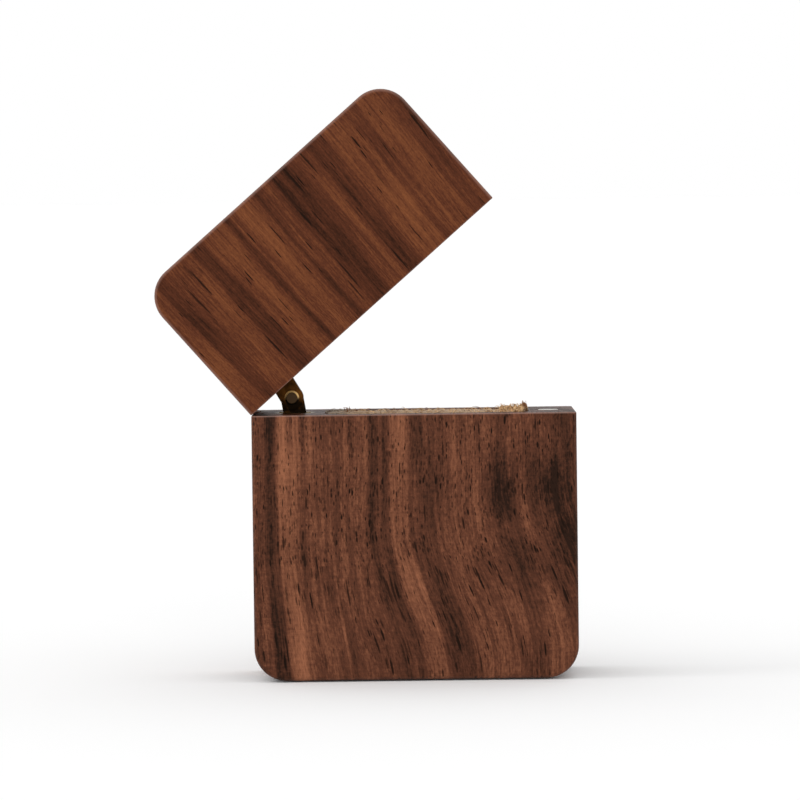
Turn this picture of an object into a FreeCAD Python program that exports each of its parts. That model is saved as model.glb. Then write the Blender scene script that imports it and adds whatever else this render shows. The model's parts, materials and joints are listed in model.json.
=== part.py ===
import FreeCAD, Part
import math
import os
import Sketcher

# Ring box of two walnut blocks. The lid tips up on one concealed barrel hinge at the left end,
# a pair of disc magnets holds it shut, and a slit cushion fills the base.
# Frame: X to the right, Y away from the viewer, Z up, origin in the middle of the base's underside.
# All lengths are millimetres, all angles degrees. The lid stands part open.

SIZES = (
    ("box_width", 43.0, "outside width, from the hinge end to the magnet end"),
    ("box_depth", 18.0, "outside depth, front to back"),
    ("base_height", 35.2, "height of the lower block"),
    ("lid_height", 21.7, "height of the upper block"),
    ("parting_gap", 0.06, "air between the closed blocks"),
    ("corner_radius", 4.3, "rounding of the outer corners, seen from the front"),
    ("edge_round", 0.55, "sanded rounding along the front and back outlines"),
    ("rim_ease", 0.08, "fine bevel along the rims that meet, except at the hinge end"),
    ("lid_angle", 41.3, "how far the lid stands open"),
    ("open_limit", 90.0, "how far the lid can open"),
    ("hinge_end_wall", 9.6, "wood between the left face and the hollows"),
    ("magnet_end_wall", 6.1, "wood between the hollows and the right face"),
    ("side_wall", 3.0, "wood in front of and behind the hollows"),
    ("cutter_radius", 3.0, "radius that the milling cutter leaves in the hollows"),
    ("base_hollow_depth", 24.0, "depth of the hollow for the cushion"),
    ("lid_hollow_depth", 16.5, "depth of the hollow in the lid"),
    ("barrel_setback", 5.6, "left face to the middle of the hinge barrels"),
    ("barrel_diameter", 5.4, "outside diameter of a hinge barrel"),
    ("barrel_length", 12.4, "length of a hinge barrel"),
    ("barrel_chamfer", 0.4, "lead-in chamfer at the blind end of a barrel"),
    ("barrel_slot_depth", 11.3, "depth of the slot in a barrel"),
    ("glue_gap", 0.05, "glue line round barrels and magnets"),
    ("link_width", 3.1, "width of a hinge leaf"),
    ("link_thickness", 0.6, "thickness of a hinge leaf"),
    ("link_gap", 0.05, "running gap between neighbouring leaves"),
    ("eye_offset", 0.35, "how far a leaf's eye stands out of line with its tail"),
    ("neck_length", 2.0, "length over which a leaf bends to its eye"),
    ("tail_margin", 1.1, "metal left beyond a leaf's long slot"),
    ("slot_play", 0.22, "room at each side of a leaf or a cross pin in its slot"),
    ("cross_pin_diameter", 0.8, "pin across a barrel that keeps the leaf in"),
    ("cross_pin_depth", 3.35, "barrel's mouth to the middle of its cross pin"),
    ("shank_diameter", 1.2, "shank of the centre rivet"),
    ("rivet_head_diameter", 1.95, "head of the centre rivet"),
    ("rivet_head_height", 0.14, "how far the rivet's head stands off its leaf"),
    ("rivet_bevel", 0.26, "width of the bevel round the rivet's head"),
    ("rivet_land", 0.02, "upright edge below the rivet's bevel"),
    ("shank_play", 0.05, "running clearance of the middle leaf on the rivet"),
    ("slide_share", 0.7, "rise of the lower leaf per radian of lid, as a share of its setback"),
    ("magnet_diameter", 3.0, "diameter of a magnet"),
    ("magnet_thickness", 2.0, "thickness of a magnet"),
    ("magnet_setback", 3.5, "right face to the middle of the magnets"),
    ("magnet_chamfer", 0.15, "chamfer round a magnet's faces"),
    ("slit_width", 2.2, "slit between the two halves of the cushion"),
    ("pad_ease", 0.15, "room between the cushion and the hollow's walls"),
    ("pad_proud", 0.05, "how far the cushion's front half stands above the rim"),
    ("rear_drop", 0.45, "how far the cushion's rear half lies below its front half"),
    ("pad_crown", 1.3, "height of the cushion's crown"),
    ("pad_ridge", 1.0, "width of the nearly flat top of the crown"),
    ("pad_draw", 0.2, "how far the cushion's sides draw in between its corners"),
    ("cover_thickness", 0.8, "thickness of the hessian cover"),
    ("foam_ease", 0.1, "room between the foam and its cover"),
    ("overrun", 1.0, "how far a cut runs past the face that it opens"),
)

# Turns at which the cushion's domed crown has its sections, as shares of a right angle.
CROWN_SHARES = (0.0, 0.25, 0.5, 0.75, 1.0)
# Rounding that a crown section keeps at its corners, as a share of the full rounding.
CROWN_CORNER_SHARE = 0.45
# How far the cushion's short ends draw in, as a share of what its long sides do.
END_DRAW_SHARE = 0.3
# Rounding at the slit, as a share of the width that the rounding at the wall leaves.
SLIT_CORNER_SHARE = 0.6

# Two places closer than this are the same place.
SAME_PLACE = 1e-6

UP = FreeCAD.Vector(0, 0, 1)
RIGHT = FreeCAD.Vector(1, 0, 0)
# The lid turns up about the line of its lower left edge, which points to the viewer.
HINGE_LINE = FreeCAD.Vector(0, -1, 0)

doc = FreeCAD.newDocument("ring_box")
sheet = doc.addObject("Spreadsheet::Sheet", "sizes")
for row, (alias, value, note) in enumerate(SIZES, 1):
    sheet.set("A%d" % row, alias)
    sheet.set("B%d" % row, str(value))
    sheet.set("C%d" % row, note)
    sheet.setAlias("B%d" % row, alias)
doc.recompute()

# Places that several pieces share, written as expressions on the sheet.
LEFT = "-sizes.box_width / 2"
RIGHT_SIDE = "sizes.box_width / 2"
FRONT = "-sizes.box_depth / 2"
BACK = "sizes.box_depth / 2"
PIVOT_HEIGHT = "(sizes.base_height + sizes.parting_gap / 2)"
HALF_GAP = "sizes.parting_gap / 2"
PIN_SETBACK = "(sizes.barrel_setback - sizes.eye_offset)"
# The rivet lies on the plane that halves the angle between lid and base.
PIN_RISE = "(%s * tan(sizes.lid_angle / 2))" % PIN_SETBACK
# The lower leaf rises evenly with the lid's angle.
SLIDE_RATE = "(sizes.slide_share * %s * pi / 180)" % PIN_SETBACK
CLOSING_DROP = "(%s * sizes.lid_angle)" % SLIDE_RATE
OPENING_LIFT = "(%s * (sizes.open_limit - sizes.lid_angle))" % SLIDE_RATE
STACK_HALF = "(sizes.link_thickness * 3 / 2 + sizes.link_gap)"
SLOT_HALF_WIDTH = "(sizes.link_width / 2 + sizes.eye_offset + sizes.slot_play)"
SLOT_HALF_THICKNESS = "(%s + sizes.rivet_head_height + sizes.link_gap * 2)" % STACK_HALF
CROSS_SLOT_WIDTH = "(sizes.cross_pin_diameter + sizes.slot_play * 2)"
CROSS_PIN_LENGTH = "(sizes.barrel_diameter - sizes.glue_gap * 2)"


def size(alias):
    """Value of one cell of the sheet."""
    return sheet.get(alias)


def origin_plane(body, role):
    """The body's own origin plane with this role."""
    for feature in body.Origin.OriginFeatures:
        if feature.Role == role:
            return feature
    raise RuntimeError("no plane %s in %s" % (role, body.Label))


def new_body(name):
    """Empty body that becomes the sub-part of this name."""
    body = doc.addObject("PartDesign::Body", name)
    body.Label = name
    return body


def new_sketch(body, name, role, offset=None):
    """Sketch on one of the body's origin planes, lifted off it by an expression."""
    sketch = body.newObject("Sketcher::SketchObject", name)
    sketch.AttachmentSupport = [(origin_plane(body, role), "")]
    sketch.MapMode = "FlatFace"
    if offset is not None:
        sketch.setExpression("AttachmentOffset.Base.z", offset)
    return sketch


def bind(sketch, constraint, expression):
    """Add a dimension to the sketch and tie it to the sheet."""
    index = sketch.addConstraint(constraint)
    sketch.setExpression("Constraints[%d]" % index, expression)


def place_point(sketch, element, point, x, y):
    """Tie one point of a sketch element to a place given as two expressions."""
    for kind, axis, expression in (("DistanceX", -2, x), ("DistanceY", -1, y)):
        value = float(sketch.evalExpression(expression))
        if abs(value) < SAME_PLACE:
            sketch.addConstraint(Sketcher.Constraint("PointOnObject", element, point, axis))
        else:
            bind(sketch, Sketcher.Constraint(kind, -1, 1, element, point, value), expression)


def draw_outline(sketch, corners):
    """Closed straight-sided outline through corners given as pairs of expressions."""
    places = []
    for x, y in corners:
        across = float(sketch.evalExpression(x))
        along = float(sketch.evalExpression(y))
        places.append(FreeCAD.Vector(across, along, 0))
    count = len(places)
    for number in range(count):
        sketch.addGeometry(Part.LineSegment(places[number], places[(number + 1) % count]))
    for number in range(count):
        sketch.addConstraint(Sketcher.Constraint("Coincident", number, 2, (number + 1) % count, 1))
    for number, (x, y) in enumerate(corners):
        place_point(sketch, number, 1, x, y)


def draw_rectangle(sketch, left, right, low, high):
    """Upright rectangle between four expressions."""
    draw_outline(sketch, ((left, low), (right, low), (right, high), (left, high)))


def draw_circle(sketch, x, y, diameter):
    """Circle with its middle at a place given as two expressions."""
    centre = FreeCAD.Vector(float(sketch.evalExpression(x)), float(sketch.evalExpression(y)), 0)
    across = float(sketch.evalExpression(diameter))
    number = sketch.addGeometry(Part.Circle(centre, UP, across / 2))
    bind(sketch, Sketcher.Constraint("Diameter", number, across), diameter)
    place_point(sketch, number, 3, x, y)


def draw_long_slot(sketch, x, low, high, width):
    """Upright slot with round ends whose middles lie at low and high."""
    across = float(sketch.evalExpression(x))
    ends = [float(sketch.evalExpression(end)) for end in (low, high)]
    radius = float(sketch.evalExpression(width)) / 2
    top = Part.Circle(FreeCAD.Vector(across, max(ends), 0), UP, radius)
    bottom = Part.Circle(FreeCAD.Vector(across, min(ends), 0), UP, radius)
    sketch.addGeometry(Part.ArcOfCircle(top, 0, math.pi))
    sketch.addGeometry(Part.LineSegment(
        FreeCAD.Vector(across - radius, max(ends), 0), FreeCAD.Vector(across - radius, min(ends), 0)))
    sketch.addGeometry(Part.ArcOfCircle(bottom, math.pi, 2 * math.pi))
    sketch.addGeometry(Part.LineSegment(
        FreeCAD.Vector(across + radius, min(ends), 0), FreeCAD.Vector(across + radius, max(ends), 0)))
    for number in range(4):
        sketch.addConstraint(Sketcher.Constraint("Tangent", number, 2, (number + 1) % 4, 1))
    sketch.addConstraint(Sketcher.Constraint("Equal", 0, 2))
    bind(sketch, Sketcher.Constraint("Radius", 0, radius), "%s / 2" % width)
    place_point(sketch, 0, 3, x, high if ends[1] > ends[0] else low)
    place_point(sketch, 2, 3, x, low if ends[1] > ends[0] else high)


def add_prism(kind, body, name, sketch, length, side="One side", reverse=False):
    """Pad or pocket of a sketch, as long as an expression says."""
    feature = body.newObject("PartDesign::" + kind, name)
    feature.Profile = sketch
    feature.setExpression("Length", length)
    feature.SideType = side
    feature.Reversed = reverse
    doc.recompute()
    return feature


def edges_where(feature, test):
    """Names of the feature's edges that pass a test."""
    names = []
    for number, edge in enumerate(feature.Shape.Edges, 1):
        if test(edge):
            names.append("Edge%d" % number)
    if not names:
        raise RuntimeError("no edges found on %s" % feature.Name)
    return names


def dress_edges(kind, body, name, feature, test, amount):
    """Fillet or chamfer along the edges that pass a test, as large as an expression says."""
    dressing = body.newObject("PartDesign::" + kind, name)
    dressing.Base = (feature, edges_where(feature, test))
    dressing.setExpression({"Fillet": "Radius", "Chamfer": "Size"}[kind], amount)
    doc.recompute()
    return dressing


def lies_at(edge, axis, place):
    """True where the whole edge lies at one place along an axis."""
    box = edge.BoundBox
    low = getattr(box, axis + "Min")
    high = getattr(box, axis + "Max")
    return abs(low - place) < SAME_PLACE and abs(high - place) < SAME_PLACE


def spans(edge, axis):
    """True where the edge runs along this axis and no other."""
    box = edge.BoundBox
    lengths = {"X": box.XLength, "Y": box.YLength, "Z": box.ZLength}
    across = [length for name, length in lengths.items() if name != axis]
    return lengths[axis] > SAME_PLACE and max(across) < SAME_PLACE


def put(body, x, z, angle=None):
    """Place a sub-part in the middle plane at two expressions, turned about the hinge line."""
    if angle is not None:
        turn = float(sheet.evalExpression(angle))
        body.Placement = FreeCAD.Placement(FreeCAD.Vector(), FreeCAD.Rotation(HINGE_LINE, turn))
        body.setExpression("Placement.Rotation.Angle", angle)
    body.setExpression("Placement.Base.x", x)
    body.setExpression("Placement.Base.z", z)


def lid_place(along, up):
    """Where a point of the lid lies, from its place along and above the closed lid's pivot."""
    x = "%s + (%s) * cos(sizes.lid_angle) - (%s) * sin(sizes.lid_angle)" % (LEFT, along, up)
    z = "%s + (%s) * sin(sizes.lid_angle) + (%s) * cos(sizes.lid_angle)" % (PIVOT_HEIGHT, along, up)
    return x, z


def block(name, left, rim, far_end, hollow_depth, upward):
    """Walnut block with its hollow and bores cut into the rim.

    left, rim and far_end are expressions in the block's own frame, and upward says
    that the cuts go up from the rim, as they do in the lid.
    """
    body = new_body(name)
    right = "%s + sizes.box_width" % left
    blank_face = new_sketch(body, name + "_face", "XZ_Plane")
    draw_rectangle(blank_face, left, right, *((rim, far_end) if upward else (far_end, rim)))
    blank = add_prism("Pad", body, name + "_blank", blank_face, "sizes.box_depth", side="Symmetric")

    far_place = float(sheet.evalExpression(far_end))
    rim_place = float(sheet.evalExpression(rim))
    shaped = dress_edges(
        "Fillet", body, name + "_corners", blank,
        lambda edge: spans(edge, "Y") and lies_at(edge, "Z", far_place), "sizes.corner_radius")

    half_depth = size("box_depth") / 2
    rounded = dress_edges(
        "Fillet", body, name + "_outline", shaped,
        lambda edge: (lies_at(edge, "Y", half_depth) or lies_at(edge, "Y", -half_depth))
        and not lies_at(edge, "Z", rim_place), "sizes.edge_round")

    hollow_face = new_sketch(body, name + "_hollow_face", "XY_Plane", rim)
    draw_rectangle(
        hollow_face, "%s + sizes.hinge_end_wall" % left, "%s - sizes.magnet_end_wall" % right,
        "%s + sizes.side_wall" % FRONT, "%s - sizes.side_wall" % BACK)
    hollow = add_prism("Pocket", body, name + "_hollow", hollow_face, hollow_depth, reverse=upward)

    wall_place = half_depth - size("side_wall")
    milled = dress_edges(
        "Fillet", body, name + "_milled_corners", hollow,
        lambda edge: spans(edge, "Z")
        and (lies_at(edge, "Y", wall_place) or lies_at(edge, "Y", -wall_place)), "sizes.cutter_radius")

    left_place = float(sheet.evalExpression(left))
    dress_edges(
        "Chamfer", body, name + "_rim", milled,
        lambda edge: lies_at(edge, "Z", rim_place) and not lies_at(edge, "X", left_place), "sizes.rim_ease")

    barrel_face = new_sketch(body, name + "_barrel_face", "XY_Plane", rim)
    draw_circle(
        barrel_face, "%s + sizes.barrel_setback" % left, "0", "sizes.barrel_diameter + sizes.glue_gap * 2")
    add_prism("Pocket", body, name + "_barrel_bore", barrel_face, "sizes.barrel_length", reverse=upward)

    magnet_face = new_sketch(body, name + "_magnet_face", "XY_Plane", rim)
    draw_circle(
        magnet_face, "%s - sizes.magnet_setback" % right, "0", "sizes.magnet_diameter + sizes.glue_gap * 2")
    add_prism("Pocket", body, name + "_magnet_bore", magnet_face, "sizes.magnet_thickness", reverse=upward)
    return body


def base_block():
    """Lower block, in the part's own frame."""
    return block("base_block", LEFT, "sizes.base_height", "0", "sizes.base_hollow_depth", False)


def lid_block():
    """Upper block, drawn closed about its hinge line and then tipped open."""
    body = block(
        "lid_block", "0", HALF_GAP, HALF_GAP + " + sizes.lid_height", "sizes.lid_hollow_depth", True)
    put(body, LEFT, PIVOT_HEIGHT, "sizes.lid_angle")
    return body


def barrel(name):
    """Hinge barrel below its mouth, with the slot for the leaves and the hole for its cross pin."""
    body = new_body(name)
    round_face = new_sketch(body, name + "_round", "XY_Plane")
    draw_circle(round_face, "0", "0", "sizes.barrel_diameter")
    rod = add_prism("Pad", body, name + "_rod", round_face, "sizes.barrel_length", reverse=True)

    blind_end = -size("barrel_length")
    dress_edges(
        "Chamfer", body, name + "_lead_in", rod,
        lambda edge: lies_at(edge, "Z", blind_end), "sizes.barrel_chamfer")

    mouth = new_sketch(body, name + "_mouth", "XY_Plane")
    draw_rectangle(
        mouth, "-" + SLOT_HALF_WIDTH, SLOT_HALF_WIDTH, "-" + SLOT_HALF_THICKNESS, SLOT_HALF_THICKNESS)
    add_prism("Pocket", body, name + "_slot", mouth, "sizes.barrel_slot_depth")

    pin_face = new_sketch(body, name + "_pin_face", "XZ_Plane")
    draw_circle(pin_face, "0", "-sizes.cross_pin_depth", "sizes.cross_pin_diameter")
    add_prism(
        "Pocket", body, name + "_pin_hole", pin_face,
        "sizes.barrel_diameter + sizes.overrun", side="Symmetric")
    return body


def base_barrel():
    """Barrel in the base, its mouth level with the rim."""
    body = barrel("base_barrel")
    put(body, LEFT + " + sizes.barrel_setback", "sizes.base_height")
    return body


def lid_barrel():
    """Barrel in the lid, turned over, its mouth level with the lid's rim."""
    body = barrel("lid_barrel")
    x, z = lid_place("sizes.barrel_setback", HALF_GAP)
    put(body, x, z, "sizes.lid_angle + 180")
    return body


def cross_pin(name, x, z):
    """Plain pin across a barrel."""
    pin = doc.addObject("Part::Cylinder", name)
    pin.Label = name
    pin.setExpression("Radius", "sizes.cross_pin_diameter / 2")
    pin.setExpression("Height", CROSS_PIN_LENGTH)
    pin.Placement = FreeCAD.Placement(FreeCAD.Vector(), FreeCAD.Rotation(RIGHT, -90))
    pin.setExpression("Placement.Base.x", x)
    pin.setExpression("Placement.Base.y", "-%s / 2" % CROSS_PIN_LENGTH)
    pin.setExpression("Placement.Base.z", z)
    return pin


def base_barrel_pin():
    """Pin that the lower leaf slides on."""
    return cross_pin(
        "base_barrel_pin", LEFT + " + sizes.barrel_setback", "sizes.base_height - sizes.cross_pin_depth")


def lid_barrel_pin():
    """Pin that the two upper leaves slide on."""
    x, z = lid_place("sizes.barrel_setback", HALF_GAP + " + sizes.cross_pin_depth")
    return cross_pin("lid_barrel_pin", x, z)


def leaf(name, way, middle, near, far, hole):
    """Hinge leaf in a frame whose origin is the rivet's axis.

    way is "-" for a tail that hangs down and "" for one that stands up, middle is the
    place of the leaf's middle plane in the stack, and near and far are the distances from
    the rivet at which the cross pin ends its travel in the long slot.
    """
    body = new_body(name)
    half = "sizes.link_width / 2"
    ends_room = "sizes.cross_pin_diameter / 2 + sizes.slot_play"
    tail = "%s(%s + %s + sizes.tail_margin)" % (way, far, ends_room)
    neck = way + "sizes.neck_length"
    left_tail = "sizes.eye_offset - " + half
    right_tail = "sizes.eye_offset + " + half
    outline = new_sketch(body, name + "_outline", "XZ_Plane", "-(%s)" % middle)
    draw_outline(outline, (
        (left_tail, tail), (right_tail, tail), (right_tail, neck),
        (half, "0"), ("-" + half, "0"), (left_tail, neck)))
    add_prism("Pad", body, name + "_tail", outline, "sizes.link_thickness", side="Symmetric")

    eye = new_sketch(body, name + "_eye", "XZ_Plane", "-(%s)" % middle)
    draw_circle(eye, "0", "0", "sizes.link_width")
    add_prism("Pad", body, name + "_round_end", eye, "sizes.link_thickness", side="Symmetric")

    openings = new_sketch(body, name + "_openings", "XZ_Plane", "-(%s)" % middle)
    draw_long_slot(
        openings, "sizes.eye_offset", "%s(%s)" % (way, near), "%s(%s)" % (way, far), CROSS_SLOT_WIDTH)
    add_prism(
        "Pocket", body, name + "_long_slot", openings,
        "sizes.link_thickness + sizes.overrun", side="Symmetric")

    pivot = new_sketch(body, name + "_pivot", "XZ_Plane", "-(%s)" % middle)
    draw_circle(pivot, "0", "0", hole)
    add_prism("Pocket", body, name + "_hole", pivot, "sizes.link_thickness + sizes.overrun", side="Symmetric")
    return body


def rivet_place():
    """Where the rivet's axis lies, as two expressions."""
    return "%s + %s" % (LEFT, PIN_SETBACK), "%s + %s" % (PIVOT_HEIGHT, PIN_RISE)


def lower_link():
    """Middle leaf, which slides up and down in the base's barrel."""
    at_rest = "(sizes.cross_pin_depth + %s + %s)" % (HALF_GAP, PIN_RISE)
    body = leaf(
        "lower_link", "-", "0", "%s - %s" % (at_rest, CLOSING_DROP),
        "%s + %s" % (at_rest, OPENING_LIFT), "sizes.shank_diameter + sizes.shank_play * 2")
    put(body, *rivet_place())
    return body


def upper_link(name, middle):
    """Outer leaf, which slides in the lid's barrel."""
    in_lid = "(sizes.cross_pin_depth + %s)" % HALF_GAP
    closed = "(%s - %s)" % (CLOSING_DROP, PIN_RISE)
    opened = "(%s * sin(sizes.open_limit) - (%s + %s) * cos(sizes.open_limit))" % (
        PIN_SETBACK, PIN_RISE, OPENING_LIFT)
    body = leaf(
        name, "", middle, "%s + %s" % (in_lid, closed), "%s + %s" % (in_lid, opened),
        "sizes.shank_diameter")
    put(body, *rivet_place(), "sizes.lid_angle")
    return body


def upper_links():
    """The two outer leaves, one at each side of the middle leaf."""
    step = "(sizes.link_thickness + sizes.link_gap)"
    return [upper_link("upper_link_front", "-" + step), upper_link("upper_link_rear", step)]


def centre_pin():
    """Rivet through the three leaves, with a bevelled head at each end."""
    body = new_body("centre_pin")
    half_section = new_sketch(body, "centre_pin_section", "XY_Plane")
    shank = "sizes.shank_diameter / 2"
    head = "sizes.rivet_head_diameter / 2"
    flat = "sizes.rivet_head_diameter / 2 - sizes.rivet_bevel"
    top = "(%s + sizes.rivet_head_height)" % STACK_HALF
    bevel = "(%s + sizes.rivet_land)" % STACK_HALF
    draw_outline(half_section, (
        ("0", "-" + top), (flat, "-" + top), (head, "-" + bevel), (head, "-" + STACK_HALF),
        (shank, "-" + STACK_HALF), (shank, STACK_HALF), (head, STACK_HALF), (head, bevel),
        (flat, top), ("0", top)))
    turned = body.newObject("PartDesign::Revolution", "centre_pin_turned")
    turned.Profile = half_section
    turned.ReferenceAxis = (half_section, ["V_Axis"])
    doc.recompute()
    put(body, *rivet_place())
    return body


def magnet(name):
    """Disc magnet below its face."""
    body = new_body(name)
    face = new_sketch(body, name + "_face", "XY_Plane")
    draw_circle(face, "0", "0", "sizes.magnet_diameter")
    disc = add_prism("Pad", body, name + "_disc", face, "sizes.magnet_thickness", reverse=True)
    under = -size("magnet_thickness")
    dress_edges(
        "Chamfer", body, name + "_chamfer", disc,
        lambda edge: lies_at(edge, "Z", 0) or lies_at(edge, "Z", under), "sizes.magnet_chamfer")
    return body


def base_magnet():
    """Magnet in the base's rim."""
    body = magnet("base_magnet")
    put(body, RIGHT_SIDE + " - sizes.magnet_setback", "sizes.base_height")
    return body


def lid_magnet():
    """Magnet in the lid's rim, face down."""
    body = magnet("lid_magnet")
    x, z = lid_place("sizes.box_width - sizes.magnet_setback", HALF_GAP)
    put(body, x, z, "sizes.lid_angle + 180")
    return body


def pad_section(length, width, wall_corner, slit_corner, draw, height):
    """Closed outline of one cushion section: sides drawn in between rounded corners.

    The corners towards the hollow's wall follow its milled corners, those at the slit are tighter.
    """
    ends = length / 2
    sides = width / 2
    end_draw = draw * END_DRAW_SHARE
    end_middle = (slit_corner - wall_corner) / 2
    corners = []
    for x_sign, y_sign, radius in (
            (1, 1, wall_corner), (-1, 1, wall_corner), (-1, -1, slit_corner), (1, -1, slit_corner)):
        slant = radius * (1 - math.sqrt(0.5))
        on_end = FreeCAD.Vector(x_sign * ends, y_sign * (sides - radius), height)
        middle = FreeCAD.Vector(x_sign * (ends - slant), y_sign * (sides - slant), height)
        on_side = FreeCAD.Vector(x_sign * (ends - radius), y_sign * sides, height)
        corners.append((on_end, middle, on_side) if x_sign == y_sign else (on_side, middle, on_end))
    drawn_in = (
        FreeCAD.Vector(0, sides - draw, height), FreeCAD.Vector(end_draw - ends, end_middle, height),
        FreeCAD.Vector(0, draw - sides, height), FreeCAD.Vector(ends - end_draw, end_middle, height))
    edges = []
    for number, (start, middle, end) in enumerate(corners):
        following = corners[(number + 1) % 4]
        edges.append(Part.Arc(start, middle, end).toShape())
        edges.append(Part.Arc(end, drawn_in[number], following[0]).toShape())
    return Part.Wire(edges)


def pad_width():
    """Width of one half of the cushion, from the slit to the hollow's wall."""
    hollow_width = size("box_depth") - size("side_wall") * 2
    return (hollow_width - size("slit_width")) / 2 - size("pad_ease")


def pad_form(inset, drop):
    """One half of the cushion, standing on its foot, smaller all round by an inset.

    Its sides draw in, and a domed crown runs along its top, lower than the highest by a drop.
    """
    hollow_length = size("box_width") - size("hinge_end_wall") - size("magnet_end_wall")
    length = hollow_length - size("pad_ease") * 2 - inset * 2
    width = pad_width() - inset * 2
    height = size("base_hollow_depth") + size("pad_proud") - drop - inset
    shoulder = height - size("pad_crown")
    dome = (width - size("pad_ridge") * width / pad_width()) / 2
    wall_corner = size("cutter_radius") - size("pad_ease")
    slit_corner = (pad_width() - wall_corner) * SLIT_CORNER_SHARE
    levels = [(0, 0, 1)]
    for share in CROWN_SHARES:
        turn = share * math.pi / 2
        drawn = dome * (1 - math.cos(turn))
        kept_share = 1 - (1 - CROWN_CORNER_SHARE) * (1 - math.cos(turn))
        levels.append((shoulder + size("pad_crown") * math.sin(turn), drawn, kept_share))
    sections = []
    for level, drawn, kept_share in levels:
        narrow = width - drawn * 2
        kept = kept_share * narrow / pad_width()
        sections.append(pad_section(
            length - drawn * 2, narrow, wall_corner * kept, slit_corner * kept,
            size("pad_draw") * kept, level))
    return Part.makeLoft(sections, True, True)


def pad_piece(name, shape, side):
    """Put a cushion piece on the hollow's floor, behind the slit or turned round in front of it."""
    piece = doc.addObject("Part::Feature", name)
    piece.Label = name
    piece.Shape = shape
    middle = FreeCAD.Vector(
        (size("hinge_end_wall") - size("magnet_end_wall")) / 2,
        side * (size("slit_width") + pad_width()) / 2,
        size("base_height") - size("base_hollow_depth"))
    piece.Placement = FreeCAD.Placement(middle, FreeCAD.Rotation(UP, 0 if side > 0 else 180))
    return piece


def cushion():
    """Two foam cores, each in its hessian cover, with the slit between them."""
    thickness = size("cover_thickness")
    pieces = []
    for name, side, drop in (("front", -1, 0), ("rear", 1, size("rear_drop"))):
        cover = pad_form(0, drop).cut(pad_form(thickness, drop))
        foam = pad_form(thickness + size("foam_ease"), drop)
        pieces.append(pad_piece(name + "_foam", foam, side))
        pieces.append(pad_piece(name + "_hessian", cover, side))
    return pieces


def check_document(pieces):
    """Stop if a feature failed, a cut took nothing away or a sub-part isn't one sound solid."""
    for item in doc.Objects:
        if "Invalid" in item.State or "Error" in item.State:
            raise RuntimeError("%s failed: %s" % (item.Name, item.State))
        if item.TypeId == "PartDesign::Pocket":
            before = item.BaseFeature.Shape.Volume
            if before - item.Shape.Volume < SAME_PLACE:
                raise RuntimeError("%s cuts nothing" % item.Name)
    for piece in pieces:
        if piece.Shape.isNull() or not piece.Shape.isValid() or len(piece.Shape.Solids) != 1:
            raise RuntimeError("%s isn't one sound solid" % piece.Label)


def write_steps(pieces):
    """Write each sub-part to the file of its own name."""
    os.makedirs("parts", exist_ok=True)
    for piece in pieces:
        piece.Shape.exportStep("parts/%s.step" % piece.Label)
        print("%-18s %10.3f mm3" % (piece.Label, piece.Shape.Volume))


def main():
    """Build every sub-part, check the document and write the files."""
    pieces = [base_block(), lid_block(), base_barrel(), lid_barrel(), base_barrel_pin(), lid_barrel_pin()]
    pieces.append(lower_link())
    pieces.extend(upper_links())
    pieces.append(centre_pin())
    pieces.extend((base_magnet(), lid_magnet()))
    pieces.extend(cushion())
    doc.recompute()
    check_document(pieces)
    write_steps(pieces)


main()
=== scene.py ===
"""Looks of a walnut ring box: wood, brass and nickel finishes, a hessian cushion and a white studio."""

import json
import math
import random
from collections import namedtuple

import bpy
import numpy as np
from bpy.props import FloatProperty, FloatVectorProperty, PointerProperty
from mathutils import Matrix, Vector


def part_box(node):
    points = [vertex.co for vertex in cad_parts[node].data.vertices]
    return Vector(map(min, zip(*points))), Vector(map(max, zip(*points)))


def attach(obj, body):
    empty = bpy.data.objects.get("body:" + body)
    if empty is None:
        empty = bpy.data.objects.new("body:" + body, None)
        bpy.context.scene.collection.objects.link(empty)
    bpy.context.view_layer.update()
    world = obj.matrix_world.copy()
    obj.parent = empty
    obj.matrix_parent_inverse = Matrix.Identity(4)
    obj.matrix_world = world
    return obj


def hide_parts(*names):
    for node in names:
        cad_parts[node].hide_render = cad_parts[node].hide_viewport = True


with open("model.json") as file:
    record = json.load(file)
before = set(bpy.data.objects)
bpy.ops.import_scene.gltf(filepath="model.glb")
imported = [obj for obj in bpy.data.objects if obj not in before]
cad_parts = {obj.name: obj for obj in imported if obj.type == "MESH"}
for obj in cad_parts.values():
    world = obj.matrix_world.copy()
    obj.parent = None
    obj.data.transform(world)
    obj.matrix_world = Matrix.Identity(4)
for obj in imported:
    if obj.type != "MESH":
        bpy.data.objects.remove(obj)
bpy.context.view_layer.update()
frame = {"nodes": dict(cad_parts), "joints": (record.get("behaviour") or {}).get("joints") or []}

bl_info = {
    "name": "Walnut Ring Box",
    "version": (1, 0, 0),
    "blender": (4, 5, 0),
    "location": "View3D > Sidebar > Ring Box",
    "description": "Finishes the packed ring box, fills its cushion and lights it in a white studio",
    "category": "Object",
}

MM = 0.001
TINY = 1e-9
WHITE = (1.0, 1.0, 1.0, 1.0)

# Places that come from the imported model
BASE_LOW, BASE_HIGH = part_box("base_block")
CUSHION_LOW, CUSHION_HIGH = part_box("front_hessian")[0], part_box("rear_hessian")[1]
BOX_WIDTH = BASE_HIGH.x - BASE_LOW.x
BOX_DEPTH = BASE_HIGH.y - BASE_LOW.y
JOINTS = {joint["name"]: joint for joint in frame["joints"]}
LID_PIVOT = Vector(JOINTS["lid_hinge"]["pos_m"])
LID_ANGLE = -JOINTS["lid_hinge"]["range_deg"][0]
RIVET_PLACE = JOINTS["link_pivot"]["pos_m"]

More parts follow.
